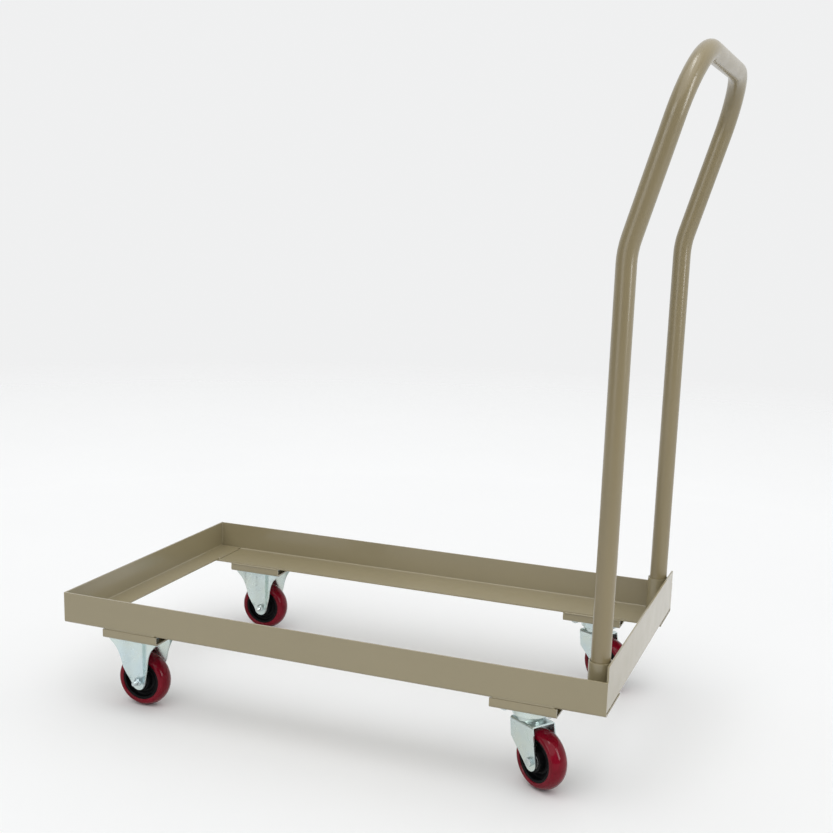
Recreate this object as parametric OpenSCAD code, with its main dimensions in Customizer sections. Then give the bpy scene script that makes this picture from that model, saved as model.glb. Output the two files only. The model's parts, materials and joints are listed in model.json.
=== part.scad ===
// Flat-stack platform cart: an open tray of angle rails on two rigid and two
// swivel casters, with a bent push handle that lifts out of two corner sockets.
// Millimetres, +Z up. The origin is on the floor under the middle of the cart's
// overall length, so the middle of the tray lies at -origin_x.
// +X points to the handle end, -Y is the left side for someone pushing.

/* [Tray] */
// Length of the tray over its rails
tray_l = 1010; // [900:5:1200]
// Width of the tray over its rails
tray_w = 574; // [540:2:620]
// Height of the upright flange of a side rail
side_h = 57.5; // [45:0.5:70]
// Width of the flat flange of a side rail, which carries the load
deck_w = 104; // [100:1:115]
// Thickness of the rail sheet
sheet_t = 3; // [2.5:0.5:4]
// Inside radius of the bends in the sheet
bend_r = 2; // [1:0.5:3]
// Height of the taller rail across the handle end
end_h = 80; // [70:1:100]
// Width of the flat flange of the handle-end rail
end_flange_w = 30; // [15:1:34]
// Width of the flat flange of the front rail
front_flange_w = 50; // [30:1:70]

/* [Handle] */
// Outer diameter of the handle tube
handle_d = 31.75; // [28:0.25:34]
// Wall of the handle tube
handle_wall = 1.65; // [1.2:0.05:2.5]
// Distance from the tray's centre line to each handle leg
leg_y = 247; // [225:1:250]
// Height above the floor at which the legs start to lean
lean_z = 866; // [700:2:950]
// Length of the leaning top, from the bend to the crossbar
lean_len = 303; // [260:1:360]
// Radius of the bend between leg and leaning top
lean_r = 140; // [70:7:210]
// Radius of the two corner bends beside the crossbar
corner_r = 104; // [60:2:140]
// Outer diameter of a handle socket
socket_d = 38.1; // [36:0.1:42]
// Wall of a handle socket
socket_wall = 2.4; // [2:0.1:2.6]
// Height of a handle socket
socket_h = 74.5; // [60:0.5:90]

/* [Casters] */
// Wheel diameter
wheel_d = 101.6; // [96:0.2:104]
// Wheel width
wheel_w = 34; // [28:1:36]
// Height of a caster from the floor to the top of its plate
caster_h = 136; // [134:0.5:150]
// Place of the rigid casters along the tray
rigid_x = -366; // [-400:1:-330]
// Place of the swivel casters along the tray
swivel_x = 371; // [330:1:385]
// Distance from the tray's centre line to each caster
caster_y = 236; // [228:1:238]
// Trail from the swivel axis to the axle
trail = 33; // [28:1:38]
// Heading of the left swivel caster at rest
heading_left = -34; // [-60:1:60]
// Heading of the right swivel caster at rest
heading_right = -26; // [-60:1:60]
// Length of a caster pad
pad_l = 112; // [108:1:130]
// Height of a caster pad
pad_h = 16.5; // [12:0.5:18]

/* [Hidden] */
$fn = 64;

paint = "#9c9078";
zinc = "#c4ccd2";
steel = "#a8acb0";
tyre_red = "#7c1228";
hub_black = "#161617";

// Levels of the tray
rail_z = caster_h + pad_h;
deck_z = rail_z + sheet_t;
half_l = tray_l / 2;
half_w = tray_w / 2;
cut = 1;

// Handle levels, from the leg ends on the deck to the start of the bend
handle_r = handle_d / 2;
leg_x = half_l - sheet_t - socket_d / 2;
// The top leans 7 across in 24 up, so the tangent of half its angle is 1 / 7
lean_a = atan2(7, 24);
bend_tangent = lean_r / 7;
bend_start_z = lean_z - bend_tangent;
bore_past_end = 0.5;
end_notch_gap = 4;
origin_x = (leg_x + 7 / 25 * lean_len + handle_r - half_l) / 2;

// Wheel and its core
wheel_r = wheel_d / 2;
rim_r = 0.73 * wheel_r;
shoulder_r = 6;
crown_r = 24;
shoulder_y = wheel_w / 2 - shoulder_r;
crown_c = wheel_r - crown_r;
shoulder_c = crown_c + sqrt(pow(crown_r - shoulder_r, 2) - pow(shoulder_y, 2));
shoulder_a = asin(shoulder_y / (crown_r - shoulder_r));
hub_half = 19.5;
barrel_r = 19;
web_half = 5;
rim_half = wheel_w / 2 - 1.5;
rim_t = 4.5;
web_step = 2;
web_bevel = 1;

// Axle stack: bolt inside a sleeve, the bearings turn on the sleeve
bolt_r = 4;
bolt_hole_r = 4.15;
sleeve_r = 6;
bearing_r = 14;
running_gap = 0.05;
bearing_bore_r = sleeve_r + running_gap;
bearing_w = 8;
core_bore_r = 8;
head_r = 7.5;
head_h = 5.3;
nut_h = 7.5;
nut_collar_h = 2;
nut_collar_r = 6.15;
thread_past_nut = 9.5;

// Fork and yoke legs
leg_out = 24;
leg_t = 2.5;
leg_in = leg_out - leg_t;
leg_tip_r = 12.5;
leg_tip_z = wheel_r - 4;
plate_t = 3;
plate_z = caster_h - plate_t;
mount_bolt_x = 38;
mount_bolt_y = 23;
swivel_plate_half_x = 46;
swivel_plate_half_y = 32;

// Rigid yoke: half widths of a leg's outline by height, and of its plan by reach
yoke_half = 50;
yoke_plate_half_y = 42;
yoke_edge = [[yoke_half, plate_z + cut], [36, 117], [28, 97], [24, 78]];
yoke_bends = [[11, 0], [27, 13.4], [yoke_half + 2, 17.5]];
yoke_inner_bends = [[11.9, -leg_t], [28.1, 11.1], [yoke_half + 2, 15]];

// Swivel head
crown_z = 110;
crown_t = 3;
fork_rear = -22;
fork_front = 34;
fork_rear_taper = 4;
fork_rear_drop = 32;
fork_reach = 60;
king_r = 6;
king_head_r = 10;
king_head_h = 3.5;
king_head_bevel = 2;
skirt_r = 30;
skirt_drop = 15;
skirt_t = 2;
skirt_bevel = 1;
ball_r = 3.2;
ball_track_r = 21;
ball_count = 16;
ball_gap = 0.1;
race_rim = 3;
race_foot = 1;
upper_race_rim = 4;
ball_z = crown_z + 14.5;

// Mounting hardware
mount_head_h = 5;
mount_nut_h = 6.5;
mount_thread = 2;

// Point where the line from p touches the circle of radius r about c
function touch(p, c, r, side) =
  let (d = p - c, a = atan2(d[1], d[0]) + side * acos(r / norm(d)))
  c + r * [cos(a), sin(a)];

// List of points in reverse order
function backwards(points) = [for (i = [len(points) - 1 : -1 : 0]) points[i]];

// List of points mirrored in X
function flipped(points) = [for (p = points) [-p[0], p[1]]];

// Angle profile with one rounded bend, upright flange along +Y of the sketch
module angle_profile(flat, upright, t) {
  outer = bend_r + t;
  difference() {
    union() {
      translate([outer, 0]) square([flat - outer, t]);
      translate([0, outer]) square([t, upright - outer]);
      intersection() {
        translate([outer, outer]) circle(r = outer);
        square(outer);
      }
    }
    translate([outer, outer]) circle(r = bend_r);
  }
}

// One side rail, for side -1 or 1, along the whole tray
module side_rail(side) {
  color(paint)
    mirror([0, side > 0 ? 1 : 0, 0])
      translate([-half_l, -half_w, rail_z])
        rotate([90, 0, 90])
          linear_extrude(tray_l)
            angle_profile(deck_w, side_h, sheet_t);
}

// Cuts the corner of an end rail clear of a side rail's inside bend
module bend_relief(side, x, length) {
  inside = half_w - sheet_t - bend_r;
  translate([x, side > 0 ? inside : -inside - bend_r - cut, deck_z - cut])
    cube([length, bend_r + cut, cut + sheet_t + bend_r]);
}

// Front rail, lapped on the side rails' flat flanges
module front_end_rail() {
  color(paint)
    difference() {
      translate([-half_l, half_w - sheet_t, deck_z])
        rotate([90, 0, 0])
          linear_extrude(tray_w - 2 * sheet_t)
            angle_profile(front_flange_w, side_h - sheet_t, sheet_t);
      for (side = [-1, 1])
        bend_relief(side, -half_l - cut, front_flange_w + 2 * cut);
    }
}

// Handle-end rail, taller, with its flat flange between the two sockets
module handle_end_rail() {
  flange_half = leg_y - socket_d / 2 - end_notch_gap;
  color(paint)
    difference() {
      translate([half_l, -half_w + sheet_t, deck_z])
        rotate([90, 0, 180])
          linear_extrude(tray_w - 2 * sheet_t)
            angle_profile(end_flange_w, end_h, sheet_t);
      for (side = [-1, 1]) {
        translate([half_l - end_flange_w - cut, side > 0 ? flange_half : -half_w, deck_z - cut])
          cube([end_flange_w + cut - sheet_t, half_w - flange_half, cut + sheet_t + bend_r]);
        bend_relief(side, half_l - sheet_t - cut, sheet_t + 2 * cut);
      }
    }
}

// Round socket that stands on a side rail inside the handle-end corner
module handle_socket(side) {
  color(paint)
    translate([leg_x, side * leg_y, deck_z])
      difference() {
        cylinder(d = socket_d, h = socket_h);
        translate([0, 0, -cut]) cylinder(d = socket_d - 2 * socket_wall, h = socket_h + 2 * cut);
      }
}

// Solid core of the handle's path at radius r, longer by extra at both leg ends
module handle_path(r, extra) {
  for (side = [-1, 1]) {
    translate([leg_x, side * leg_y, deck_z - extra])
      cylinder(r = r, h = bend_start_z - deck_z + extra);
    intersection() {
      translate([leg_x + lean_r, side * leg_y, bend_start_z])
        rotate([90, 0, 0])
          rotate_extrude($fn = 128)
            translate([lean_r, 0]) circle(r = r);
      translate([leg_x - socket_d, side * leg_y - socket_d, bend_start_z])
        cube([socket_d + lean_r, 2 * socket_d, lean_r]);
      translate([leg_x, side * leg_y, lean_z])
        rotate([0, lean_a, 0])
          translate([-lean_r, -socket_d, bend_tangent - lean_r])
            cube([2 * lean_r, 2 * socket_d, lean_r]);
    }
    translate([leg_x, side * leg_y, lean_z])
      rotate([0, lean_a, 0])
        translate([0, 0, bend_tangent])
          cylinder(r = r, h = lean_len - corner_r - bend_tangent);
    translate([leg_x, 0, lean_z])
      rotate([0, lean_a, 0])
        translate([0, side * (leg_y - corner_r), lean_len - corner_r])
          rotate([90, 0, 90])
            rotate([0, 0, side > 0 ? 0 : 90])
              rotate_extrude(angle = 90)
                translate([corner_r, 0]) circle(r = r);
  }
  translate([leg_x, 0, lean_z])
    rotate([0, lean_a, 0])
      translate([0, leg_y - corner_r, lean_len])
        rotate([90, 0, 0])
          cylinder(r = r, h = 2 * (leg_y - corner_r));
}

// Bent tube handle, open at its two leg ends
module push_handle() {
  color(paint)
    difference() {
      handle_path(handle_r, 0);
      handle_path(handle_r - handle_wall, bore_past_end);
    }
}

// Moves its children to a caster: front casters are rigid, rear ones swivel
module at_caster(rear, side) {
  heading = side < 0 ? heading_left : heading_right;
  translate([rear ? swivel_x : rigid_x, side * caster_y, 0])
    rotate([0, 0, rear ? heading : 0])
      children();
}

// Moves its children to the axle of a caster
module at_axle(rear, side) {
  at_caster(rear, side)
    translate([rear ? trail : 0, 0, wheel_r])
      children();
}

// Short channel, web down and open at both ends, that drops the casters
module caster_pad(rear, side) {
  x = rear ? swivel_x : rigid_x;
  edge = side < 0 ? -half_w : half_w - deck_w;
  color(paint)
    difference() {
      translate([x - pad_l / 2, edge, caster_h])
        rotate([90, 0, 90])
          linear_extrude(pad_l)
            union() {
              angle_profile(deck_w / 2, pad_h, sheet_t);
              translate([deck_w, 0]) mirror([1, 0]) angle_profile(deck_w / 2, pad_h, sheet_t);
            }
      at_mounting_bolts(rear, side)
        translate([0, 0, caster_h - cut]) cylinder(r = bolt_hole_r, h = sheet_t + 2 * cut);
    }
}

// Places of the four mounting bolts of a caster
module at_mounting_bolts(rear, side) {
  for (sx = [-1, 1], sy = [-1, 1])
    translate([(rear ? swivel_x : rigid_x) + sx * mount_bolt_x,
               side * caster_y + sy * mount_bolt_y, 0])
      children();
}

module mounting_bolts(rear, side) {
  color(zinc)
    at_mounting_bolts(rear, side) {
      translate([0, 0, plate_z - mount_nut_h - mount_thread])
        cylinder(r = bolt_r, h = mount_nut_h + mount_thread + plate_t + sheet_t);
      translate([0, 0, caster_h + sheet_t])
        cylinder(r = head_r, h = mount_head_h, $fn = 6);
    }
}

module mounting_nuts(rear, side) {
  color(zinc)
    at_mounting_bolts(rear, side)
      translate([0, 0, plate_z - mount_nut_h])
        difference() {
          cylinder(r = head_r, h = mount_nut_h, $fn = 6);
          translate([0, 0, -cut]) cylinder(r = bolt_r, h = mount_nut_h + 2 * cut);
        }
}

// Axle bolt along local Y, its head towards +Y on a front caster, -Y on a rear one
module axle_bolt(rear, side) {
  shank = 2 * leg_out + nut_h + thread_past_nut;
  color(zinc)
    at_axle(rear, side)
      rotate([rear ? -90 : 90, 0, 0]) {
        translate([0, 0, -leg_out]) cylinder(r = bolt_r, h = shank);
        translate([0, 0, -leg_out - head_h]) cylinder(r = head_r, h = head_h, $fn = 6);
      }
}

// Lock nut: a hexagon under a round collar
module axle_nut(rear, side) {
  color(zinc)
    at_axle(rear, side)
      rotate([rear ? -90 : 90, 0, 0])
        translate([0, 0, leg_out])
          difference() {
            union() {
              cylinder(r = head_r, h = nut_h - nut_collar_h, $fn = 6);
              cylinder(r = nut_collar_r, h = nut_h);
            }
            translate([0, 0, -cut]) cylinder(r = bolt_r, h = nut_h + 2 * cut);
          }
}

// Spacer sleeve clamped between the legs
module axle_sleeve(rear, side) {
  color(steel)
    at_axle(rear, side)
      rotate([90, 0, 0])
        difference() {
          cylinder(r = sleeve_r, h = 2 * leg_in, center = true);
          cylinder(r = bolt_hole_r, h = 2 * (leg_in + cut), center = true);
        }
}

// Two bearings pressed into the core, one from each side
module hub_bearings(rear, side) {
  color(steel)
    at_axle(rear, side)
      rotate([90, 0, 0])
        for (s = [-1, 1])
          translate([0, 0, s * (hub_half - bearing_w / 2)])
            difference() {
              cylinder(r = bearing_r, h = bearing_w, center = true);
              cylinder(r = bearing_bore_r, h = bearing_w + 2 * cut, center = true);
            }
}

// Moulded wheel core: barrel, web and rim
module wheel_hub(rear, side) {
  seat = hub_half - bearing_w;
  rim_in = rim_r - rim_t;
  half = [
    [core_bore_r, seat], [bearing_r, seat], [bearing_r, hub_half], [barrel_r, hub_half],
    [barrel_r + web_bevel, web_half + web_step], [barrel_r + web_bevel + web_step, web_half],
    [rim_in - web_bevel - web_step, web_half], [rim_in - web_bevel, web_half + web_step],
    [rim_in, rim_half], [rim_r, rim_half]];
  color(hub_black)
    at_axle(rear, side)
      rotate([90, 0, 0])
        rotate_extrude()
          polygon(concat(half, backwards([for (p = half) [p[0], -p[1]]])));
}

// Section of the tyre: flat sidewalls, round shoulders and a crowned tread
module tyre_section() {
  reach = 2 * crown_r;
  intersection() {
    union() {
      translate([rim_r, -wheel_w / 2]) square([shoulder_c - rim_r, wheel_w]);
      for (s = [-1, 1])
        translate([shoulder_c, s * shoulder_y]) circle(r = shoulder_r);
      intersection() {
        translate([crown_c, 0]) circle(r = crown_r);
        polygon([
          [crown_c, 0],
          [crown_c + reach * cos(shoulder_a), -reach * sin(shoulder_a)],
          [crown_c + reach * cos(shoulder_a), reach * sin(shoulder_a)]]);
      }
    }
    translate([rim_r, -wheel_w / 2]) square([reach, wheel_w]);
  }
}

module tyre(rear, side) {
  color(tyre_red)
    at_axle(rear, side)
      rotate([90, 0, 0])
        rotate_extrude($fn = 96)
          tyre_section();
}

// Side outline of a yoke leg: sweeps in below the plate, round under the axle
module yoke_outline() {
  c = [0, leg_tip_z];
  low = yoke_edge[len(yoke_edge) - 1];
  side = concat(yoke_edge, [touch(low, c, leg_tip_r, -1)]);
  polygon(concat(side, backwards(flipped(side))));
  translate(c) circle(r = leg_tip_r);
}

// Plan of a yoke leg: flat in the middle, its wings bent outwards twice
module yoke_plan() {
  translate([0, leg_out])
    polygon(concat(yoke_bends, backwards(yoke_inner_bends),
                   flipped(yoke_inner_bends), backwards(flipped(yoke_bends))));
}

// Pressed yoke of a rigid caster, plate and two legs
module rigid_yoke(side) {
  color(zinc)
    difference() {
      union() {
        at_caster(false, side)
          translate([-yoke_half, -yoke_plate_half_y, plate_z])
            cube([2 * yoke_half, 2 * yoke_plate_half_y, plate_t]);
        for (s = [0, 1])
          at_caster(false, side)
            mirror([0, s, 0])
              intersection() {
                linear_extrude(plate_z + cut) yoke_plan();
                translate([0, 2 * leg_out, 0])
                  rotate([90, 0, 0])
                    linear_extrude(2 * leg_out)
                      yoke_outline();
              }
      }
      at_mounting_bolts(false, side)
        translate([0, 0, plate_z - cut]) cylinder(r = bolt_hole_r, h = plate_t + 2 * cut);
      at_axle(false, side)
        rotate([90, 0, 0]) cylinder(r = bolt_hole_r, h = 4 * leg_out, center = true);
    }
}

// Top plate of a swivel caster with its pressed skirt and upper race
module swivel_plate(side) {
  color(zinc)
    difference() {
      union() {
        translate([swivel_x - swivel_plate_half_x, side * caster_y - swivel_plate_half_y, plate_z])
          cube([2 * swivel_plate_half_x, 2 * swivel_plate_half_y, plate_t]);
        translate([swivel_x, side * caster_y, 0])
          rotate_extrude()
            polygon([
              [skirt_r - skirt_t, plate_z + cut], [skirt_r, plate_z + cut],
              [skirt_r, plate_z - skirt_drop + skirt_bevel],
              [skirt_r - skirt_bevel, plate_z - skirt_drop],
              [skirt_r - skirt_t, plate_z - skirt_drop]]);
        translate([swivel_x, side * caster_y, ball_z + ball_r + ball_gap])
          cylinder(r = ball_track_r + upper_race_rim, h = plate_z - ball_z - ball_r);
      }
      at_mounting_bolts(true, side)
        translate([0, 0, plate_z - cut]) cylinder(r = bolt_hole_r, h = plate_t + 2 * cut);
      translate([swivel_x, side * caster_y, crown_z])
        cylinder(r = king_r, h = caster_h);
      translate([swivel_x, side * caster_y, plate_z])
        cylinder(r = king_head_r, h = caster_h);
    }
}

// Riveted king pin: flush head in the plate, lower head under the crown
module king_pin(side) {
  lower_head_top = crown_z - crown_t - ball_gap;
  color(steel)
    translate([swivel_x, side * caster_y, 0]) {
      translate([0, 0, plate_z]) cylinder(r = king_head_r, h = plate_t);
      translate([0, 0, lower_head_top - cut])
        cylinder(r = king_r, h = plate_z - lower_head_top + 2 * cut);
      translate([0, 0, lower_head_top - king_head_h])
        cylinder(r1 = king_head_r - king_head_bevel, r2 = king_head_r, h = king_head_h);
    }
}

// Ring of loose balls between the two races
module race_balls(side) {
  color(steel)
    at_caster(true, side)
      for (i = [0 : ball_count - 1])
        rotate([0, 0, i * 360 / ball_count])
          translate([ball_track_r, 0, ball_z]) sphere(r = ball_r);
}

// Side outline of a swivel fork leg, leaning forwards to the trailing axle
module fork_outline() {
  c = [trail, leg_tip_z];
  front = [fork_front, crown_z];
  rear_low = [fork_rear + fork_rear_taper, crown_z - fork_rear_drop];
  polygon([
    [fork_rear, crown_z], front, touch(front, c, leg_tip_r, -1),
    touch(rear_low, c, leg_tip_r, 1), rear_low]);
  translate(c) circle(r = leg_tip_r);
}

// Arch section of the fork: crown with rounded shoulders and two legs
module fork_section() {
  outer = bend_r + crown_t;
  for (s = [0, 1])
    mirror([s, 0]) {
      translate([0, crown_z - crown_t]) square([leg_out - outer, crown_t]);
      translate([leg_out - leg_t, 0]) square([leg_t, crown_z - outer]);
      difference() {
        intersection() {
          translate([leg_out - outer, crown_z - outer]) circle(r = outer);
          translate([leg_out - outer, crown_z - outer]) square(outer);
        }
        translate([leg_out - outer, crown_z - outer]) square([outer - leg_t, bend_r]);
      }
    }
}

// Swivel fork with its lower race
module swivel_fork(side) {
  race_top = ball_z - ball_r - ball_gap;
  color(zinc)
    at_caster(true, side)
      difference() {
        union() {
          intersection() {
            rotate([90, 0, 90]) linear_extrude(2 * fork_reach, center = true) fork_section();
            rotate([90, 0, 0]) linear_extrude(4 * leg_out, center = true) fork_outline();
          }
          translate([0, 0, crown_z - cut])
            cylinder(r1 = ball_track_r + race_foot, r2 = ball_track_r + race_rim,
                     h = race_top - crown_z + cut);
        }
        translate([0, 0, crown_z - crown_t - cut])
          cylinder(r = king_r + running_gap, h = race_top - crown_z + crown_t + 2 * cut);
        translate([trail, 0, wheel_r])
          rotate([90, 0, 0]) cylinder(r = bolt_hole_r, h = 4 * leg_out, center = true);
      }
}

module side_rail_left() side_rail(-1);
module side_rail_right() side_rail(1);
module handle_socket_left() handle_socket(-1);
module handle_socket_right() handle_socket(1);

translate([-origin_x, 0, 0]) {
  side_rail_left();
  side_rail_right();
  front_end_rail();
  handle_end_rail();
  handle_socket_left();
  handle_socket_right();
  caster_pad(false, -1);  // caster_pad_front_left
  caster_pad(false, 1);  // caster_pad_front_right
  caster_pad(true, -1);  // caster_pad_rear_left
  caster_pad(true, 1);  // caster_pad_rear_right
  push_handle();
  rigid_yoke(-1);  // rigid_yoke_left
  rigid_yoke(1);  // rigid_yoke_right
  mounting_bolts(false, -1);  // mounting_bolts_front_left
  mounting_bolts(false, 1);  // mounting_bolts_front_right
  mounting_bolts(true, -1);  // mounting_bolts_rear_left
  mounting_bolts(true, 1);  // mounting_bolts_rear_right
  mounting_nuts(false, -1);  // mounting_nuts_front_left
  mounting_nuts(false, 1);  // mounting_nuts_front_right
  mounting_nuts(true, -1);  // mounting_nuts_rear_left
  mounting_nuts(true, 1);  // mounting_nuts_rear_right
  axle_bolt(false, -1);  // axle_bolt_front_left
  axle_bolt(false, 1);  // axle_bolt_front_right
  axle_bolt(true, -1);  // axle_bolt_rear_left
  axle_bolt(true, 1);  // axle_bolt_rear_right
  axle_nut(false, -1);  // axle_nut_front_left
  axle_nut(false, 1);  // axle_nut_front_right
  axle_nut(true, -1);  // axle_nut_rear_left
  axle_nut(true, 1);  // axle_nut_rear_right
  axle_sleeve(false, -1);  // axle_sleeve_front_left
  axle_sleeve(false, 1);  // axle_sleeve_front_right
  axle_sleeve(true, -1);  // axle_sleeve_rear_left
  axle_sleeve(true, 1);  // axle_sleeve_rear_right
  hub_bearings(false, -1);  // hub_bearings_front_left
  hub_bearings(false, 1);  // hub_bearings_front_right
  hub_bearings(true, -1);  // hub_bearings_rear_left
  hub_bearings(true, 1);  // hub_bearings_rear_right
  wheel_hub(false, -1);  // wheel_hub_front_left
  wheel_hub(false, 1);  // wheel_hub_front_right
  wheel_hub(true, -1);  // wheel_hub_rear_left
  wheel_hub(true, 1);  // wheel_hub_rear_right
  tyre(false, -1);  // tyre_front_left
  tyre(false, 1);  // tyre_front_right
  tyre(true, -1);  // tyre_rear_left
  tyre(true, 1);  // tyre_rear_right
  swivel_plate(-1);  // swivel_plate_left
  swivel_plate(1);  // swivel_plate_right
  king_pin(-1);  // king_pin_left
  king_pin(1);  // king_pin_right
  race_balls(-1);  // race_balls_left
  race_balls(1);  // race_balls_right
  swivel_fork(-1);  // swivel_fork_left
  swivel_fork(1);  // swivel_fork_right
}
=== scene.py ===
"""Looks of the platform cart: materials, welds, detailed wheels and fasteners, floor, light and camera."""

import json
import math

import bmesh
import bpy
from mathutils import Matrix, Vector

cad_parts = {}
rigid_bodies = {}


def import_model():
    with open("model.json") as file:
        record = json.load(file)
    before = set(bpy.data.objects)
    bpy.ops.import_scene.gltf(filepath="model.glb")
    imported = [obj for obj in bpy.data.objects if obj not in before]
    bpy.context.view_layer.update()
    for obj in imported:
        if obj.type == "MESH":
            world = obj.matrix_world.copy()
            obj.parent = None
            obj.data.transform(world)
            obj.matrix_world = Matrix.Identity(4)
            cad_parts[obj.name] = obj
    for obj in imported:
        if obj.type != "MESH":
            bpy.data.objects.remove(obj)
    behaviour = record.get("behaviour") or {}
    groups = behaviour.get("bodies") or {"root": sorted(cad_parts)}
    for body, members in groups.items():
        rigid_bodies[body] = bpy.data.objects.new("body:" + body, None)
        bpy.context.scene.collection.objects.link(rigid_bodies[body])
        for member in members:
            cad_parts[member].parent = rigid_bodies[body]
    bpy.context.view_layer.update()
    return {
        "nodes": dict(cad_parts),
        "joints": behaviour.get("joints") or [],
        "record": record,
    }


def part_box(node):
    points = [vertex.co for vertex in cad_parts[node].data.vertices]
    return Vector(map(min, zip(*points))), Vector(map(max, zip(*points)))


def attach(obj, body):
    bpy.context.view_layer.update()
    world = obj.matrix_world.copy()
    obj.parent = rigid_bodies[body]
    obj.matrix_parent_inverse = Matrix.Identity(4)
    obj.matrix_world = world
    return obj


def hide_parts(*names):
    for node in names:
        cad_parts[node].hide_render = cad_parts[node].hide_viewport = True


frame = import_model()

MM = 0.001
NODES = frame["nodes"]
JOINTS = {j["name"]: j for j in frame["joints"]}
SIDES = ("left", "right")
ENDS = ("front", "rear")

# Sockets of a colour Mix node, whose names are shared with its other data types
MIX_A = 6
MIX_B = 7
MIX_OUT = 2


# ---------------------------------------------------------------- node helpers

class Look:
    """A Principled material and the few node helpers that the recipes below share."""

    def __init__(self, name, color, metallic=0.0, roughness=0.5):
        self.material = bpy.data.materials.new(name)
        self.material.use_nodes = True
        self.tree = self.material.node_tree
        self.shader = self.tree.nodes["Principled BSDF"]
        self.shader.inputs["Base Color"].default_value = (*color, 1)
        self.shader.inputs["Metallic"].default_value = metallic
        self.shader.inputs["Roughness"].default_value = roughness
        self.coords = self.add("ShaderNodeTexCoord").outputs["Object"]
        self.normal = None

    def add(self, kind, **settings):
        node = self.tree.nodes.new(kind)
        for key, value in settings.items():
            setattr(node, key, value)
        return node

    def link(self, source, target):
        self.tree.links.new(source, target)

    def stretched(self, scale):
        """Object coordinates scaled differently along each axis."""
        mapping = self.add("ShaderNodeMapping")
        mapping.inputs["Scale"].default_value = scale
        self.link(self.coords, mapping.inputs["Vector"])
        return mapping.outputs["Vector"]

    def noise(self, scale, detail=3.0, roughness=0.5, coords=None):
        node = self.add("ShaderNodeTexNoise")
        node.inputs["Scale"].default_value = scale
        node.inputs["Detail"].default_value = detail
        node.inputs["Roughness"].default_value = roughness
        self.link(coords or self.coords, node.inputs["Vector"])
        return node.outputs["Fac"]

    def remap(self, value, low, high, to_low, to_high):
        node = self.add("ShaderNodeMapRange")
        for key, number in (("From Min", low), ("From Max", high), ("To Min", to_low), ("To Max", to_high)):
            node.inputs[key].default_value = number
        self.link(value, node.inputs["Value"])
        return node.outputs["Result"]

    def multiply(self, a, b):
        node = self.add("ShaderNodeMath", operation="MULTIPLY")
        self.link(a, node.inputs[0])
        self.link(b, node.inputs[1])
        return node.outputs[0]

    def mix(self, factor, a, b):
        """Colour a where factor is 0 and b where it is 1; each is a colour or a socket."""
        node = self.add("ShaderNodeMix", data_type="RGBA")
        self.link(factor, node.inputs["Factor"])
        for value, socket in ((a, node.inputs[MIX_A]), (b, node.inputs[MIX_B])):
            if isinstance(value, tuple):
                socket.default_value = (*value, 1)
            else:
                self.link(value, socket)
        return node.outputs[MIX_OUT]

    def color(self, socket):
        self.link(socket, self.shader.inputs["Base Color"])

    def roughness(self, socket):
        self.link(socket, self.shader.inputs["Roughness"])

    def soft_edges(self, radius):
        """Rounds hard edges in the shading, as a press brake, paint or tumbling leaves them."""
        node = self.add("ShaderNodeBevel", samples=4)
        node.inputs["Radius"].default_value = radius
        self.normal = node.outputs["Normal"]
        self.link(self.normal, self.shader.inputs["Normal"])

    def bump(self, height, strength, distance):
        node = self.add("ShaderNodeBump")
        node.inputs["Strength"].default_value = strength
        node.inputs["Distance"].default_value = distance
        self.link(height, node.inputs["Height"])
        if self.normal is not None:
            self.link(self.normal, node.inputs["Normal"])
        self.normal = node.outputs["Normal"]
        self.link(self.normal, self.shader.inputs["Normal"])

    def edges(self, radius):
        """0 on faces and 1 along hard edges, where a rounded normal leaves the face's own."""
        rounded = self.add("ShaderNodeBevel", samples=4)
        rounded.inputs["Radius"].default_value = radius
        turn = self.add("ShaderNodeVectorMath", operation="DOT_PRODUCT")
        self.link(rounded.outputs["Normal"], turn.inputs[0])
        self.link(self.add("ShaderNodeNewGeometry").outputs["Normal"], turn.inputs[1])
        return self.remap(turn.outputs["Value"], 0.99, 0.85, 0.0, 1.0)


# ------------------------------------------------------------------- materials

def powder_coat(name, color, gloss, coat, coat_blur, peel):
    """Baked tan powder coat: faintly mottled and orange-peeled, scuffed, rubbed lighter on its edges."""
    look = Look(name, color)
    light = tuple(min(1.0, c * 1.03) for c in color)
    dark = tuple(c * 0.975 for c in color)
    mottled = look.mix(look.remap(look.noise(5.0, 5.0, 0.6), 0.3, 0.7, 0.0, 1.0), dark, light)
    speckled = look.mix(look.remap(look.noise(1400.0, 1.0), 0.60, 0.72, 0.0, 0.25), mottled, light)
    streaks = look.noise(70.0, 5.0, 0.7, look.stretched((0.22, 0.6, 2.4)))
    scuffs = look.remap(streaks, 0.70, 0.77, 0.0, 0.14)
    scuffed = look.mix(scuffs, speckled, tuple(min(1.0, c * 1.3 + 0.02) for c in color))
    rub = look.multiply(look.edges(1.2 * MM), look.remap(look.noise(70.0, 3.0), 0.42, 0.62, 0.0, 0.6))
    look.color(look.mix(rub, scuffed, tuple(min(1.0, c * 1.4 + 0.03) for c in color)))
    look.roughness(look.remap(look.noise(22.0, 3.0), 0.3, 0.7, gloss - 0.03, gloss + 0.05))
    look.shader.inputs["Coat Weight"].default_value = coat
    look.shader.inputs["Coat Roughness"].default_value = coat_blur
    look.soft_edges(0.8 * MM)
    look.bump(look.noise(330.0, 1.0), peel, 0.12 * MM)
    return look.material


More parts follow.
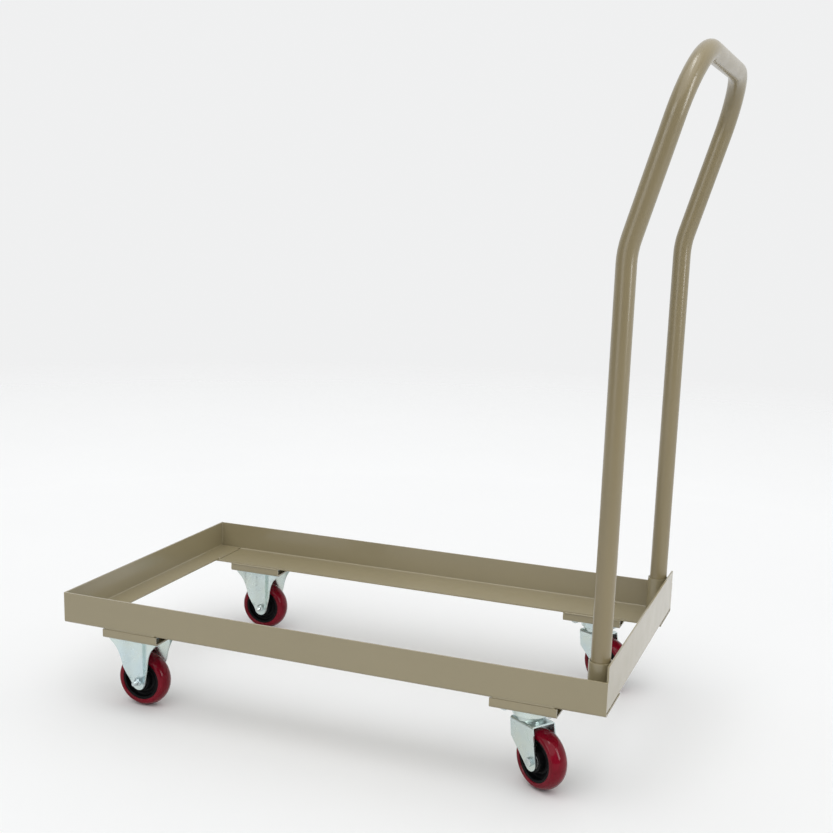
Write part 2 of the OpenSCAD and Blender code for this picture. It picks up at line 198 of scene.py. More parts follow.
def zinc_plate(name, tone, shine, edge=0.6):
    """Bright zinc: pale blue and faintly yellow passivation over rolled sheet, brushed by handling."""
    look = Look(name, tone, metallic=0.92, roughness=shine)
    cool = (tone[0] * 0.92, tone[1] * 0.98, tone[2] * 1.02)
    warm = (tone[0] * 1.03, tone[1] * 1.01, tone[2] * 0.92)
    tinted = look.mix(look.remap(look.noise(14.0, 4.0, 0.6), 0.32, 0.68, 0.0, 1.0), cool, warm)
    spangle = look.add("ShaderNodeTexVoronoi", feature="F1")
    spangle.inputs["Scale"].default_value = 420.0
    look.link(look.coords, spangle.inputs["Vector"])
    grains = look.remap(spangle.outputs["Distance"], 0.2, 0.9, 0.0, 0.10)
    look.color(look.mix(grains, tinted, (tone[0] * 0.9, tone[1] * 0.91, tone[2] * 0.92)))
    look.roughness(look.remap(look.noise(30.0, 3.0, 0.5), 0.3, 0.7, shine - 0.03, shine + 0.06))
    look.soft_edges(edge * MM)
    brushed = look.noise(240.0, 3.0, 0.6, look.stretched((1.0, 1.0, 7.0)))
    look.bump(brushed, 0.03, 0.05 * MM)
    return look.material


def urethane(name):
    """Cast maroon polyurethane: deep, glossy, with faint swirls and a duller, dusty tread."""
    look = Look(name, (0.13, 0.002, 0.009), roughness=0.2)
    swirl = look.remap(look.noise(45.0, 6.0, 0.7), 0.35, 0.7, 0.0, 1.0)
    deep = look.mix(swirl, (0.115, 0.0012, 0.007), (0.175, 0.0025, 0.013))
    dust = look.remap(look.noise(260.0, 4.0, 0.75), 0.62, 0.82, 0.0, 0.05)
    look.color(look.mix(dust, deep, (0.30, 0.14, 0.13)))
    look.roughness(look.remap(look.noise(120.0, 4.0), 0.3, 0.7, 0.10, 0.24))
    look.shader.inputs["Specular IOR Level"].default_value = 0.10
    look.shader.inputs["Coat Weight"].default_value = 0.30
    look.shader.inputs["Coat Roughness"].default_value = 0.03
    look.shader.inputs["Coat IOR"].default_value = 1.35
    look.bump(look.noise(600.0, 2.0), 0.04, 0.10 * MM)
    return look.material


def moulded_black(name):
    """Black polyolefin wheel core: satin, finely grained, slightly greyed on its edges."""
    look = Look(name, (0.005, 0.005, 0.0055), roughness=0.4)
    worn = look.multiply(look.edges(0.8 * MM), look.remap(look.noise(150.0, 3.0), 0.45, 0.7, 0.0, 0.4))
    cloudy = look.mix(look.remap(look.noise(55.0, 4.0), 0.35, 0.7, 0.0, 1.0),
                      (0.0035, 0.0035, 0.004), (0.008, 0.008, 0.0085))
    look.color(look.mix(worn, cloudy, (0.03, 0.03, 0.031)))
    look.roughness(look.remap(look.noise(80.0, 3.0), 0.3, 0.7, 0.34, 0.50))
    look.shader.inputs["Specular IOR Level"].default_value = 0.08
    look.soft_edges(0.5 * MM)
    look.bump(look.noise(1100.0, 2.0), 0.10, 0.08 * MM)
    return look.material


def turned_steel(name, tone=0.55, shine=0.27):
    """Ground or turned bare steel with an oil film."""
    look = Look(name, (tone, tone, tone * 1.01), metallic=1.0, roughness=shine)
    film = look.remap(look.noise(140.0, 4.0), 0.4, 0.7, 0.0, 0.5)
    look.color(look.mix(film, (tone, tone, tone * 1.01), (tone * 0.72, tone * 0.68, tone * 0.60)))
    look.roughness(look.remap(look.noise(220.0, 3.0), 0.3, 0.7, shine - 0.08, shine + 0.10))
    look.soft_edges(0.3 * MM)
    look.bump(look.noise(900.0, 2.0), 0.08, 0.05 * MM)
    return look.material


def nylon(name, color):
    """Dull moulded nylon or rubber of a lock nut's ring or a bearing's seal."""
    look = Look(name, color, roughness=0.5)
    shade = tuple(c * 0.7 for c in color)
    look.color(look.mix(look.remap(look.noise(300.0, 3.0), 0.35, 0.7, 0.0, 1.0), shade, color))
    look.roughness(look.remap(look.noise(180.0, 3.0), 0.3, 0.7, 0.42, 0.60))
    look.bump(look.noise(900.0, 2.0), 0.10, 0.08 * MM)
    return look.material


def studio_floor(name, tone, clear_from, clear_to):
    """Matt pale floor that turns clear between two distances from the origin, so that no horizon shows."""
    look = Look(name, tone, roughness=0.75)
    shade = tuple(c * 0.985 for c in tone)
    look.color(look.mix(look.remap(look.noise(1.3, 3.0), 0.3, 0.7, 0.0, 1.0), shade, tone))
    look.bump(look.noise(160.0, 2.0), 0.02, 0.2 * MM)
    length = look.add("ShaderNodeVectorMath", operation="LENGTH")
    look.link(look.coords, length.inputs[0])
    look.link(look.remap(length.outputs["Value"], clear_from, clear_to, 1.0, 0.0),
              look.shader.inputs["Alpha"])
    return look.material


paint = powder_coat("tan_powder_coat", (0.236, 0.200, 0.114), 0.40, 0.85, 0.16, 0.05)
tube_paint = powder_coat("tan_tube_coat", (0.205, 0.166, 0.088), 0.34, 0.45, 0.17, 0.02)
zinc = zinc_plate("zinc_sheet", (0.66, 0.74, 0.74), 0.26)
bolt_zinc = zinc_plate("zinc_fastener", (0.60, 0.65, 0.66), 0.20, 0.25)
steel = turned_steel("turned_steel")
red = urethane("maroon_urethane")
black = moulded_black("black_core")
seal = nylon("bearing_seal", (0.030, 0.016, 0.014))
lock_ring = nylon("nylon_lock_ring", (0.42, 0.50, 0.56))

SLOT_LOOKS = {
    "frame_paint": paint, "handle_paint": tube_paint, "zinc": zinc, "fasteners": bolt_zinc,
    "plain_steel": steel, "hub_plastic": black, "tyre_urethane": red,
}
SLOTS = {s["node"]: s["material_slot"] for s in frame["record"]["subparts"]}
for node_name, node in NODES.items():
    node.data.materials.clear()
    node.data.materials.append(SLOT_LOOKS[SLOTS[node_name]])


# ------------------------------------------------------------ mesh construction

def finish_mesh(name, mesh, material, body, smooth_angle=35.0):
    """Makes an object of a bmesh in the shared frame, rides it on a body and gives it its look."""
    bmesh.ops.recalc_face_normals(mesh, faces=mesh.faces)
    limit = math.radians(smooth_angle)
    for face in mesh.faces:
        face.smooth = True
    for edge in mesh.edges:
        edge.smooth = len(edge.link_faces) == 2 and edge.calc_face_angle(0.0) < limit
    data = bpy.data.meshes.new(name)
    mesh.to_mesh(data)
    mesh.free()
    data.materials.append(material)
    piece = bpy.data.objects.new(name, data)
    bpy.context.scene.collection.objects.link(piece)
    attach(piece, body)
    return piece


def bridge_rings(mesh, rings, closed_path=False):
    """Quads between successive rings of vertices, each ring closed on itself."""
    pairs = list(zip(rings, rings[1:] + rings[:1])) if closed_path else list(zip(rings, rings[1:]))
    for a, b in pairs:
        for i in range(len(a)):
            j = (i + 1) % len(a)
            mesh.faces.new((a[i], a[j], b[j], b[i]))


def add_revolved(mesh, profile, placed, steps=96):
    """Revolves a closed profile of (radius, height) about local Z, then places it."""
    rings = []
    for k in range(steps):
        a = 2 * math.pi * k / steps
        rings.append([mesh.verts.new(placed @ Vector((r * math.cos(a), r * math.sin(a), h)))
                      for r, h in profile])
    bridge_rings(mesh, rings, closed_path=True)


def arc(center, radius, start, stop, steps):
    """Points on an arc, angles in degrees, ends included."""
    return [(center[0] + radius * math.cos(math.radians(start + (stop - start) * i / steps)),
             center[1] + radius * math.sin(math.radians(start + (stop - start) * i / steps)))
            for i in range(steps + 1)]


def axis_frame(origin, direction):
    """Matrix whose local Z runs along direction, with local X level where it can be."""
    z = Vector(direction).normalized()
    helper = Vector((0, 0, 1)) if abs(z.z) < 0.9 else Vector((1, 0, 0))
    x = helper.cross(z).normalized()
    y = z.cross(x)
    turn = Matrix((x, y, z)).transposed().to_4x4()
    return Matrix.Translation(Vector(origin)) @ turn


def box_center(node_name):
    low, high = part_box(node_name)
    return (low + high) / 2


# ---------------------------------------------------------------------- wheels

# The wheel's section, as on the CAD wheel
WHEEL_R = 50.8 * MM
HALF_W = 17.0 * MM
RIM_R = 0.73 * WHEEL_R
CROWN_R = 24.0 * MM
SHOULDER_R = 6.0 * MM
HUB_HALF = 19.5 * MM
BARREL_R = 19.0 * MM
SEAT_R = 14.0 * MM
BORE_R = 8.0 * MM
BEARING_W = 8.0 * MM
SLEEVE_R = 6.0 * MM


def tyre_profile():
    """Tyre section: flat sidewalls with a moulded lip at the rim, round shoulders, crowned tread."""
    shoulder_y = HALF_W - SHOULDER_R
    crown_c = WHEEL_R - CROWN_R
    shoulder_c = crown_c + math.sqrt((CROWN_R - SHOULDER_R) ** 2 - shoulder_y ** 2)
    tilt = math.degrees(math.asin(shoulder_y / (CROWN_R - SHOULDER_R)))
    lip = 0.5 * MM
    half = [(RIM_R, HALF_W - 1.0 * MM), (RIM_R + lip, HALF_W - lip), (RIM_R + 2 * lip, HALF_W - lip),
            (RIM_R + 3 * lip, HALF_W)]
    half += arc((shoulder_c, shoulder_y), SHOULDER_R, 90.0, tilt, 10)
    tread = arc((crown_c, 0.0), CROWN_R, tilt, -tilt, 22)[1:-1]
    mirrored = [(r, -h) for r, h in reversed(half)]
    return half + tread + mirrored


def core_profile():
    """Core section: pressed-in bearing seats, stepped web face and a rounded rim."""
    rim_half = HALF_W - 1.5 * MM
    rim_in = RIM_R - 4.5 * MM
    web = 5.0 * MM
    step = 1.2 * MM
    fillet = 2.5 * MM
    upper = [(BORE_R, HUB_HALF - BEARING_W), (SEAT_R, HUB_HALF - BEARING_W), (SEAT_R, HUB_HALF),
             (BARREL_R - 1.0 * MM, HUB_HALF), (BARREL_R - 0.3 * MM, HUB_HALF - 0.3 * MM),
             (BARREL_R, HUB_HALF - 1.0 * MM)]
    upper += arc((BARREL_R + fillet, web + step + fillet), fillet, 180.0, 270.0, 5)
    middle = (BARREL_R + rim_in) / 2
    upper += [(middle - 1.5 * MM, web + step), (middle - 0.5 * MM, web + 0.3 * MM), (middle, web)]
    upper += arc((rim_in - fillet, web + fillet), fillet, 270.0, 360.0, 5)
    upper += [(rim_in, rim_half - 0.8 * MM), (rim_in + 0.8 * MM, rim_half), (RIM_R, rim_half)]
    lower = [(r, -h) for r, h in reversed(upper)]
    return upper + lower


def build_wheel(end, side):
    """Detailed tyre, core and sealed bearings of one wheel, on its own spinning body."""
    joint = JOINTS[f"wheel_spin_{end}_{side}"]
    body = f"wheel_{end}_{side}"
    placed = axis_frame(joint["pos_m"], joint["axis"])
    mesh = bmesh.new()
    add_revolved(mesh, tyre_profile(), placed, 128)
    tyre = finish_mesh(f"cast_tyre_{end}_{side}", mesh, red, body)
    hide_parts(f"tyre_{end}_{side}")
    mesh = bmesh.new()
    add_revolved(mesh, core_profile(), placed, 128)
    core = finish_mesh(f"moulded_core_{end}_{side}", mesh, black, body)
    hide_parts(f"wheel_hub_{end}_{side}")
    build_bearings(end, side, placed, body)


def build_bearings(end, side, placed, body):
    """Outer and inner bearing rings with a dished seal between them, on both faces of the core."""
    inner = SLEEVE_R + 0.05 * MM
    rings = bmesh.new()
    seals = bmesh.new()
    depth = 0.7 * MM
    ring_w = 2.2 * MM
    for face in (-1, 1):
        out = face * HUB_HALF
        back = face * (HUB_HALF - BEARING_W)
        chamfer = face * 0.4 * MM
        for r0, r1 in ((inner, inner + ring_w), (SEAT_R - ring_w, SEAT_R)):
            edge = 0.4 * MM
            profile = [(r0, back), (r1, back), (r1, out - chamfer), (r1 - edge, out),
                       (r0 + edge, out), (r0, out - chamfer)]
            add_revolved(rings, profile, placed, 64)
        a, b = inner + ring_w, SEAT_R - ring_w
        sunk = out - face * depth
        dished = sunk - face * 0.5 * MM
        profile = [(a, sunk), (a + 0.8 * MM, dished), (b - 0.8 * MM, dished), (b, sunk), (b, back), (a, back)]
        add_revolved(seals, profile, placed, 64)
    bearing = finish_mesh(f"bearing_rings_{end}_{side}", rings, steel, body)
    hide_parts(f"hub_bearings_{end}_{side}")
    finish_mesh(f"bearing_seals_{end}_{side}", seals, seal, body)


for wheel_end in ENDS:
    for wheel_side in SIDES:
        build_wheel(wheel_end, wheel_side)


# ---------------------------------------------------------------- rigid yokes

# The pressed yoke: sheet, outer face of a leg at the axle, rounded tip and edge as (half width, height),
# and the bend lines as (place along X, reach outwards) in millimetres
YOKE_T = 2.5 * MM
LEG_OUT = 24.0 * MM
YOKE_TIP = (12.5 * MM, 46.8 * MM)
YOKE_EDGE = [(24 * MM, 78 * MM), (28 * MM, 97 * MM), (36 * MM, 117 * MM), (50 * MM, 133.5 * MM)]
YOKE_BENDS = [(-52, 17.5), (-27, 13.4), (-11, 0.0), (11, 0.0), (27, 13.4), (52, 17.5)]
BEND_SPREAD = 4.0 * MM
PLATE_T = 3.0 * MM


def yoke_reach(x):
    """How far outwards the leg's outer face lies at x, its bends rounded."""
    def folded(at):
        limit = YOKE_BENDS[-1][0] * MM
        at = max(-limit, min(limit, at))
        for (x0, y0), (x1, y1) in zip(YOKE_BENDS, YOKE_BENDS[1:]):
            if at <= x1 * MM:
                t = (at - x0 * MM) / ((x1 - x0) * MM)
                return (y0 + (y1 - y0) * t) * MM
        return YOKE_BENDS[-1][1] * MM
    samples = [folded(x + BEND_SPREAD * k / 4) for k in range(-4, 5)]
    return sum(samples) / len(samples)


def yoke_half_width(z):
    """Half the leg's width at height z: a round tip, then a smooth curve through YOKE_EDGE."""
    tip_r, tip_z = YOKE_TIP
    points = [(tip_r, tip_z)] + YOKE_EDGE
    if z <= tip_z:
        return math.sqrt(max(0.0, tip_r ** 2 - (z - tip_z) ** 2))
    for i in range(len(points) - 1):
        (w0, z0), (w1, z1) = points[i], points[i + 1]
        if z <= z1:
            t = (z - z0) / (z1 - z0)
            before = points[max(0, i - 1)]
            after = points[min(len(points) - 1, i + 2)]
            m0 = (w1 - before[0]) / max(1e-9, z1 - before[1]) * (z1 - z0)
            m1 = (after[0] - w0) / max(1e-9, after[1] - z0) * (z1 - z0)
            return ((2 * t ** 3 - 3 * t ** 2 + 1) * w0 + (t ** 3 - 2 * t ** 2 + t) * m0
                    + (3 * t ** 2 - 2 * t ** 3) * w1 + (t ** 3 - t ** 2) * m1)
    return points[-1][0]


def add_leg(mesh, center, way, top):
    """One pressed leg of a yoke, on the side way (-1 or 1) of the wheel."""
    tip_r, tip_z = YOKE_TIP
    heights = [tip_z - tip_r * math.cos(math.radians(90 * k / 10)) for k in range(1, 11)]
    heights += [tip_z + (top - tip_z) * (k + 1) / 26 for k in range(26)]
    columns = [math.sin(math.radians(-90 + 180 * k / 40)) for k in range(41)]
    rings = []
    for z in heights:
        half = yoke_half_width(z)
        outer, inner = [], []
        for t in columns:
            x = t * half
            reach = yoke_reach(x)
            slope = (yoke_reach(x + 0.5 * MM) - yoke_reach(x - 0.5 * MM)) / (1.0 * MM)
            normal = Vector((-slope, 1.0)).normalized()
            y = LEG_OUT + reach
            outer.append(Vector((x, y)))
            inner.append(Vector((x, y)) - YOKE_T * normal)
        loop = outer + list(reversed(inner))
        rings.append([mesh.verts.new(center + Vector((p.x, way * p.y, z - center.z))) for p in loop])
    bridge_rings(mesh, rings)
    mesh.faces.new(rings[0])
    mesh.faces.new(rings[-1])


def add_plate(mesh, low, high, corner_r=6.0 * MM, edge=0.4 * MM):
    """Rounded rectangular plate between two corners."""
    x0, x1 = low.x + corner_r, high.x - corner_r
    y0, y1 = low.y + corner_r, high.y - corner_r
    outline = []
    for cx, cy, start in ((x1, y1, 0), (x0, y1, 90), (x0, y0, 180), (x1, y0, 270)):
        outline += [(cx, cy, math.radians(start + 90 * k / 6)) for k in range(7)]
    levels = ((corner_r - edge, low.z), (corner_r, low.z + edge),
              (corner_r, high.z - edge), (corner_r - edge, high.z))
    rings = [[mesh.verts.new((cx + r * math.cos(a), cy + r * math.sin(a), z)) for cx, cy, a in outline]
             for r, z in levels]
    bridge_rings(mesh, rings)
    mesh.faces.new(rings[0])
    mesh.faces.new(rings[-1])


def build_yoke(side):
    """Pressed rigid yoke with rounded bends, in place of its plain CAD form."""
    node_name = f"rigid_yoke_{side}"
    low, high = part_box(node_name)
    center = Vector(JOINTS[f"wheel_spin_front_{side}"]["pos_m"])
    mesh = bmesh.new()
    for way in (-1, 1):
        add_leg(mesh, center, way, high.z - PLATE_T + 0.5 * MM)
    add_plate(mesh, Vector((low.x, low.y, high.z - PLATE_T)), high)
    piece = finish_mesh(f"pressed_yoke_{side}", mesh, zinc, "tray", 40.0)
    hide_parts(node_name)


# ------------------------------------------------------------------- fasteners

BOLT_R = 4.0 * MM
HEX_APOTHEM = 6.5 * MM
THREAD_PITCH = 1.25 * MM
THREAD_DEPTH = 0.55 * MM
HEAD_H = 5.3 * MM
NUT_H = 7.5 * MM
PAST_NUT = 9.5 * MM
NUT_HEX_H = 5.5 * MM
COLLAR_H = 2.2 * MM
COLLAR_T = 1.2 * MM
# How far a shank starts inside its head
ROOT = 0.2 * MM


def hex_radius(angle, apothem):
    """Radius of a hexagon at an angle in radians, with a corner at 0."""
    sector = math.radians(60)
    return apothem / math.cos(angle % sector - sector / 2)


def add_hex(mesh, placed, base, height, bore=0.0, chamfer_base=False, steps=72):
    """Hexagon prism with turned chamfers, from local height base up; bore leaves it open."""
    slope = math.tan(math.radians(30))
    turned = HEX_APOTHEM * 0.985
    angles = [2 * math.pi * k / steps for k in range(steps)]
    flats = [hex_radius(a, HEX_APOTHEM) for a in angles]
    drops = [(r - turned) * slope for r in flats]
    level = [0.0] * steps

    def ring(radii, height_from, sinks):
        return [mesh.verts.new(placed @ Vector((r * math.cos(a), r * math.sin(a), height_from + sink)))
                for r, a, sink in zip(radii, angles, sinks)]

    top = base + height
    hole = [bore if bore else 0.02 * MM] * steps
    shoulder = [turned] * steps
    rings = [ring(hole, base, level)]
    if chamfer_base:
        rings.append(ring(shoulder, base, level))
        rings.append(ring(flats, base, drops))
    else:
        rings.append(ring(flats, base, level))
    rings.append(ring(flats, top, [-drop for drop in drops]))
    rings.append(ring(shoulder, top, level))
    rings.append(ring(hole, top, level))
    bridge_rings(mesh, rings, closed_path=bool(bore))
    if not bore:
        mesh.faces.new(list(reversed(rings[0])))
        mesh.faces.new(rings[-1])


def add_shank(mesh, placed, start, stop, thread_from, steps=28):
    """Round shank from start to stop along local Z, with a real helical thread past thread_from."""
    tip = 0.8 * MM
    heights = [start, thread_from]
    count = max(2, int((stop - tip - thread_from) / THREAD_PITCH * 6))
    heights += [thread_from + (stop - tip - thread_from) * (i + 1) / count for i in range(count)]
    rings = []
    for h in heights + [stop]:
        ring = []
        for k in range(steps):
            a = 2 * math.pi * k / steps
            r = BOLT_R - 0.05 * MM
            if h > thread_from:
                phase = ((h - thread_from) / THREAD_PITCH - k / steps) % 1.0
                r -= THREAD_DEPTH * (1 - abs(2 * phase - 1))
            if h == stop:
                r = BOLT_R - 1.1 * MM
            ring.append(mesh.verts.new(placed @ Vector((r * math.cos(a), r * math.sin(a), h))))
        rings.append(ring)
    bridge_rings(mesh, rings)
    mesh.faces.new(list(reversed(rings[0])))
    mesh.faces.new(rings[-1])


def build_axle_hardware(end, side):
    """Bolt with a chamfered head and threaded end, and a lock nut with its nylon ring."""
    joint = JOINTS[f"wheel_spin_{end}_{side}"]
    center = Vector(joint["pos_m"])
    axis = Vector(joint["axis"])
    if (box_center(f"axle_nut_{end}_{side}") - center).dot(axis) < 0:
        axis = -axis
    placed = axis_frame(center, axis)
    body = f"fork_{side}" if end == "rear" else "tray"
    bolt = bmesh.new()
    add_hex(bolt, placed @ Matrix.Rotation(math.pi, 4, "X"), LEG_OUT, HEAD_H)
    add_shank(bolt, placed, -LEG_OUT - ROOT, LEG_OUT + NUT_H + PAST_NUT, LEG_OUT - 1.0 * MM)
    piece = finish_mesh(f"hex_bolt_axle_{end}_{side}", bolt, bolt_zinc, body)
    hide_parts(f"axle_bolt_{end}_{side}")
    nut = bmesh.new()
    add_hex(nut, placed, LEG_OUT, NUT_HEX_H, bore=BOLT_R, chamfer_base=True)
    collar = HEX_APOTHEM * 0.90
    top = LEG_OUT + NUT_H
    inside = collar - COLLAR_T
    foot = top - COLLAR_H
    add_revolved(nut, [(collar, foot), (collar, top - 0.5 * MM), (collar - COLLAR_T / 2, top),
                       (inside, top), (inside, foot)], placed, 64)
    piece = finish_mesh(f"lock_nut_{end}_{side}", nut, bolt_zinc, body)
    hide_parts(f"axle_nut_{end}_{side}")
    ring = bmesh.new()
    add_revolved(ring, [(BOLT_R, top - 2.0 * MM), (inside, top - 2.0 * MM),
                        (inside, top - 0.3 * MM), (BOLT_R + 0.3 * MM, top - 0.5 * MM)], placed, 64)
    finish_mesh(f"lock_nut_insert_{end}_{side}", ring, lock_ring, body)


MOUNT_HEAD_H = 5.0 * MM
MOUNT_PLAIN = 4.0 * MM


def build_mounting_hardware(end, side):
    """The four bolts down through a pad's web and a caster's plate, with their nuts below."""
    low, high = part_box(f"mounting_bolts_{end}_{side}")
    nuts_low, nuts_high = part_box(f"mounting_nuts_{end}_{side}")
    reach = (high.z - low.z)
    corner = HEX_APOTHEM / math.cos(math.radians(30))
    bolts = bmesh.new()
    nuts = bmesh.new()
    for x in (low.x + corner, high.x - corner):
        for y in (low.y + HEX_APOTHEM, high.y - HEX_APOTHEM):
            placed = Matrix.Translation((x, y, high.z)) @ Matrix.Rotation(math.pi, 4, "X")
            flipped = Matrix.Translation((x, y, 0))
            add_hex(bolts, flipped, high.z - MOUNT_HEAD_H, MOUNT_HEAD_H)
            add_shank(bolts, placed, MOUNT_HEAD_H - ROOT, reach, MOUNT_HEAD_H + MOUNT_PLAIN)
            add_hex(nuts, placed, high.z - nuts_high.z, nuts_high.z - nuts_low.z, bore=BOLT_R,
                    chamfer_base=True)
    piece = finish_mesh(f"pad_bolts_{end}_{side}", bolts, bolt_zinc, "tray")
    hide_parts(f"mounting_bolts_{end}_{side}")
    piece = finish_mesh(f"pad_nuts_{end}_{side}", nuts, bolt_zinc, "tray")
    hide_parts(f"mounting_nuts_{end}_{side}")


for yoke_side in SIDES:
    build_yoke(yoke_side)
for caster_end in ENDS:
    for caster_side in SIDES:
        build_axle_hardware(caster_end, caster_side)
        build_mounting_hardware(caster_end, caster_side)


# ----------------------------------------------------------------------- welds

def weld_bead(name, path, radius, ripple=2.2 * MM, closed=False, sides=10):
    """A stitched fillet weld along a path of points, rippled like stacked coins, painted over."""
    mesh = bmesh.new()
    points = []
    count = len(path)
    spans = count if closed else count - 1
    for i in range(spans):
        a, b = Vector(path[i]), Vector(path[(i + 1) % count])
        steps = max(1, round((b - a).length / (ripple / 5)))
        points += [a.lerp(b, k / steps) for k in range(steps)]
    if not closed:
        points.append(Vector(path[-1]))
    rings = []
    travelled = 0.0
    total = len(points)
    for i, point in enumerate(points):
        ahead = points[(i + 1) % total] if closed or i + 1 < total else point
        behind = points[i - 1] if closed or i > 0 else point
        tangent = (ahead - behind).normalized()
        if i:
            travelled += (point - points[i - 1]).length
        phase = (travelled / ripple) % 1.0
        swell = 1.0 + 0.16 * math.sqrt(max(0.0, 1 - (2 * phase - 1) ** 2)) - 0.08
        taper = 1.0 if closed else min(1.0, 0.35 + 0.65 * min(i, total - 1 - i) / 4)
        helper = Vector((0, 0, 1)) if abs(tangent.z) < 0.9 else Vector((1, 0, 0))
        u = helper.cross(tangent).normalized()
        v = tangent.cross(u)
        r = radius * swell * taper
        rings.append([mesh.verts.new(point + r * (math.cos(2 * math.pi * k / sides) * u
                                                  + math.sin(2 * math.pi * k / sides) * v))
                      for k in range(sides)])
    bridge_rings(mesh, rings, closed_path=closed)
    if not closed:
        mesh.faces.new(list(reversed(rings[0])))
        mesh.faces.new(rings[-1])
    return finish_mesh(name, mesh, paint, "tray", 60.0)


SHEET_T = 3.0 * MM
SOCKET_BEAD = 2.0 * MM
CORNER_BEAD = 1.9 * MM
LAP_BEAD = 1.7 * MM
PAD_OUTER_BEAD = 2.2 * MM
PAD_INNER_BEAD = 1.6 * MM


def build_welds():
    """Welds at the sockets, the tray's corners and laps, and the caster pads."""
    for side in SIDES:
        low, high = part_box(f"handle_socket_{side}")
        center = (low + high) / 2
        r = (high.x - low.x) / 2
        circle = [(center.x + r * math.cos(a), center.y + r * math.sin(a), low.z + 0.6 * MM)
                  for a in (2 * math.pi * k / 48 for k in range(48))]
        weld_bead(f"weld_socket_{side}", circle, SOCKET_BEAD, closed=True)
        sign = -1 if side == "left" else 1
        rail_low, rail_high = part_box(f"side_rail_{side}")
        inner = (rail_high.y if sign > 0 else rail_low.y) - sign * SHEET_T
        flange_edge = rail_low.y if sign > 0 else rail_high.y
        for end, node_name, face in (("front", "front_end_rail", 1), ("handle", "handle_end_rail", -1)):
            end_low, end_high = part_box(node_name)
            x = (end_low.x if face > 0 else end_high.x) + face * SHEET_T
            top = rail_high.z - 2.0 * MM
            weld_bead(f"weld_corner_{end}_{side}",
                      [(x, inner, end_low.z + 6.0 * MM), (x, inner, top)], CORNER_BEAD)
        front_low, front_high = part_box("front_end_rail")
        y0, y1 = sorted((flange_edge + sign * 4.0 * MM, inner - sign * 12.0 * MM))
        lap_z = front_low.z + 0.8 * MM
        weld_bead(f"weld_front_lap_{side}", [(front_high.x, y0, lap_z), (front_high.x, y1, lap_z)], LAP_BEAD)
        for end in ENDS:
            pad_low, pad_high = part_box(f"caster_pad_{end}_{side}")
            middle = (pad_low.x + pad_high.x) / 2
            outer_y = pad_high.y - 2.4 * MM if sign > 0 else pad_low.y + 2.4 * MM
            inner_y = pad_low.y if sign > 0 else pad_high.y
            reach = (pad_high.x - pad_low.x) / 2 - 3.0 * MM
            for tag, y, z, size in (("outer", outer_y, pad_high.z + 1.6 * MM, PAD_OUTER_BEAD),
                                    ("inner", inner_y, pad_high.z - 0.4 * MM, PAD_INNER_BEAD)):
                weld_bead(f"weld_pad_{tag}_{end}_{side}",
                          [(middle - reach, y, z), (middle + reach, y, z)], size)


build_welds()


# ------------------------------------------------------------- stage and camera

FLOOR_R = 9.0
FLOOR_TONE = (0.90, 0.902, 0.897)
FLOOR_CLEAR_FROM = 2.0
FLOOR_CLEAR_TO = 5.0


def build_floor():
    """A wide pale floor that fades before its edge."""
    mesh = bmesh.new()
    bmesh.ops.create_circle(mesh, cap_ends=True, segments=96, radius=FLOOR_R)
    data = bpy.data.meshes.new("studio_floor")
    mesh.to_mesh(data)
    mesh.free()
    data.materials.append(studio_floor("pale_floor", FLOOR_TONE, FLOOR_CLEAR_FROM, FLOOR_CLEAR_TO))
    floor = bpy.data.objects.new("studio_floor", data)
    bpy.context.scene.collection.objects.link(floor)


def softbox(name, lit, place, target, size, power):
    """An area light at place, aimed at target, that shines on the collection lit alone."""
    light = bpy.data.lights.new(name, "AREA")
    light.shape = "RECTANGLE"
    light.size, light.size_y = size
    light.energy = power
    lamp = bpy.data.objects.new(name, light)
    lamp.light_linking.receiver_collection = lit
    lamp.location = place
    aim = Vector(target) - Vector(place)
    lamp.rotation_mode = "QUATERNION"
    lamp.rotation_quaternion = aim.to_track_quat("-Z", "Y")
    bpy.context.scene.collection.objects.link(lamp)


# The light from the -Y side and from the rest of the room, and the tone that the camera sees
ROOM_DARK = (0.16, 0.16, 0.17)
ROOM_LIGHT = (0.88, 0.89, 0.90)
SURROUND = (0.868, 0.872, 0.875)


def build_world():
    """Pale surround as the camera sees it; the light it gives is dimmer, and least from the -Y side."""
    world = bpy.context.scene.world or bpy.data.worlds.new("studio")
    bpy.context.scene.world = world
    world.use_nodes = True
    nodes, links = world.node_tree.nodes, world.node_tree.links
    background = nodes["Background"]
    background.inputs["Strength"].default_value = 1.0
    direction = nodes.new("ShaderNodeTexCoord").outputs["Generated"]
    split = nodes.new("ShaderNodeSeparateXYZ")
    links.new(direction, split.inputs[0])
    depth = nodes.new("ShaderNodeMapRange")
    depth.interpolation_type = "SMOOTHSTEP"
    depth.inputs["From Min"].default_value = -0.5
    depth.inputs["From Max"].default_value = 0.35
    links.new(split.outputs["Y"], depth.inputs["Value"])
    room = nodes.new("ShaderNodeMix")
    room.data_type = "RGBA"
    room.inputs[MIX_A].default_value = (*ROOM_DARK, 1)
    room.inputs[MIX_B].default_value = (*ROOM_LIGHT, 1)
    links.new(depth.outputs["Result"], room.inputs["Factor"])
    seen = nodes.new("ShaderNodeMix")
    seen.data_type = "RGBA"
    links.new(room.outputs[MIX_OUT], seen.inputs[MIX_A])
    seen.inputs[MIX_B].default_value = (*SURROUND, 1)
    links.new(nodes.new("ShaderNodeLightPath").outputs["Is Camera Ray"], seen.inputs["Factor"])
    links.new(seen.outputs[MIX_OUT], background.inputs["Color"])


def build_sun(name, aim, strength, angle):
    """A wide, soft sun shining along aim."""
    light = bpy.data.lights.new(name, "SUN")
    light.energy = strength
    light.angle = math.radians(angle)
    sun = bpy.data.objects.new(name, light)
    sun.rotation_mode = "QUATERNION"
    sun.rotation_quaternion = Vector(aim).to_track_quat("-Z", "Y")
    bpy.context.scene.collection.objects.link(sun)


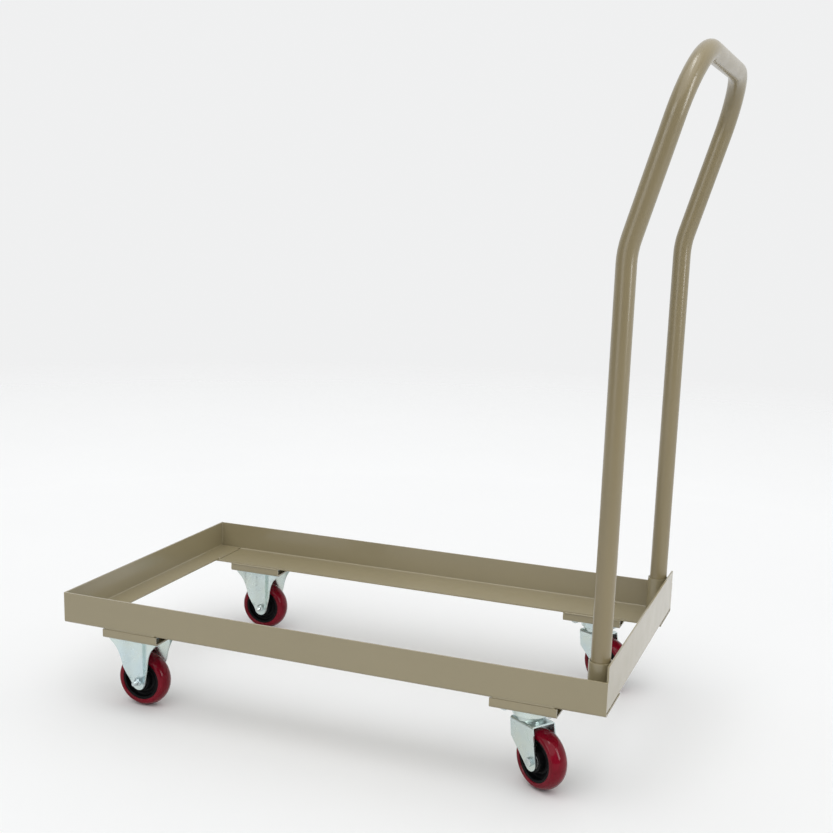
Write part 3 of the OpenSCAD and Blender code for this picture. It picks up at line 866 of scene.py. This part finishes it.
def build_light():
    """Even soft light from above, and small bright boxes that draw the highlights."""
    cart = bpy.data.collections.new("cart")
    for piece in bpy.context.scene.objects:
        if piece.type == "MESH" and piece.name != "studio_floor":
            cart.objects.link(piece)
    build_world()
    build_sun("ceiling", (0.0, 0.55, -1.0), 1.85, 80.0)
    softbox("front_box", cart, (-0.9, -3.0, 1.9), (0.0, 0.0, 0.35), (1.3, 0.9), 14.0)
    softbox("overhead_box", cart, (0.5, -0.7, 3.1), (0.2, 0.0, 0.4), (0.30, 1.6), 11.0)
    softbox("handle_end_box", cart, (2.9, -0.9, 1.5), (0.4, 0.0, 0.5), (0.6, 2.0), 32.0)
    softbox("near_fill_box", cart, (-0.6, -2.9, 0.8), (0.3, -0.2, 0.3), (1.4, 1.2), 8.0)


# Place in metres, lens in millimetres, angles in degrees: yaw left of +Y, pitch down, roll right side up
CAMERA_AT = (0.8181, -2.0735, 0.9255)
CAMERA_YAW = 21.42
CAMERA_PITCH = 11.97
CAMERA_ROLL = 1.64
CAMERA_LENS = 53.35
CAMERA_SHIFT = (0.0153, 0.0576)


def build_camera():
    """Camera at the viewer's place beside the left rail, looking across the tray."""
    yaw, pitch, roll = (math.radians(a) for a in (CAMERA_YAW, CAMERA_PITCH, CAMERA_ROLL))
    ahead = Vector((-math.sin(yaw) * math.cos(pitch), math.cos(yaw) * math.cos(pitch), -math.sin(pitch)))
    level = Vector((math.cos(yaw), math.sin(yaw), 0.0))
    upright = level.cross(ahead)
    right = math.cos(roll) * level + math.sin(roll) * upright
    up = math.cos(roll) * upright - math.sin(roll) * level
    lens = bpy.data.cameras.new("camera")
    lens.sensor_width = 36.0
    lens.lens = CAMERA_LENS
    lens.shift_x, lens.shift_y = CAMERA_SHIFT
    lens.clip_end = 60.0
    camera = bpy.data.objects.new("camera", lens)
    turn = Matrix((right, up, -ahead)).transposed().to_4x4()
    camera.matrix_world = Matrix.Translation(CAMERA_AT) @ turn
    bpy.context.scene.collection.objects.link(camera)
    bpy.context.scene.camera = camera


build_floor()
build_light()
build_camera()
bpy.context.scene.view_settings.view_transform = "Standard"
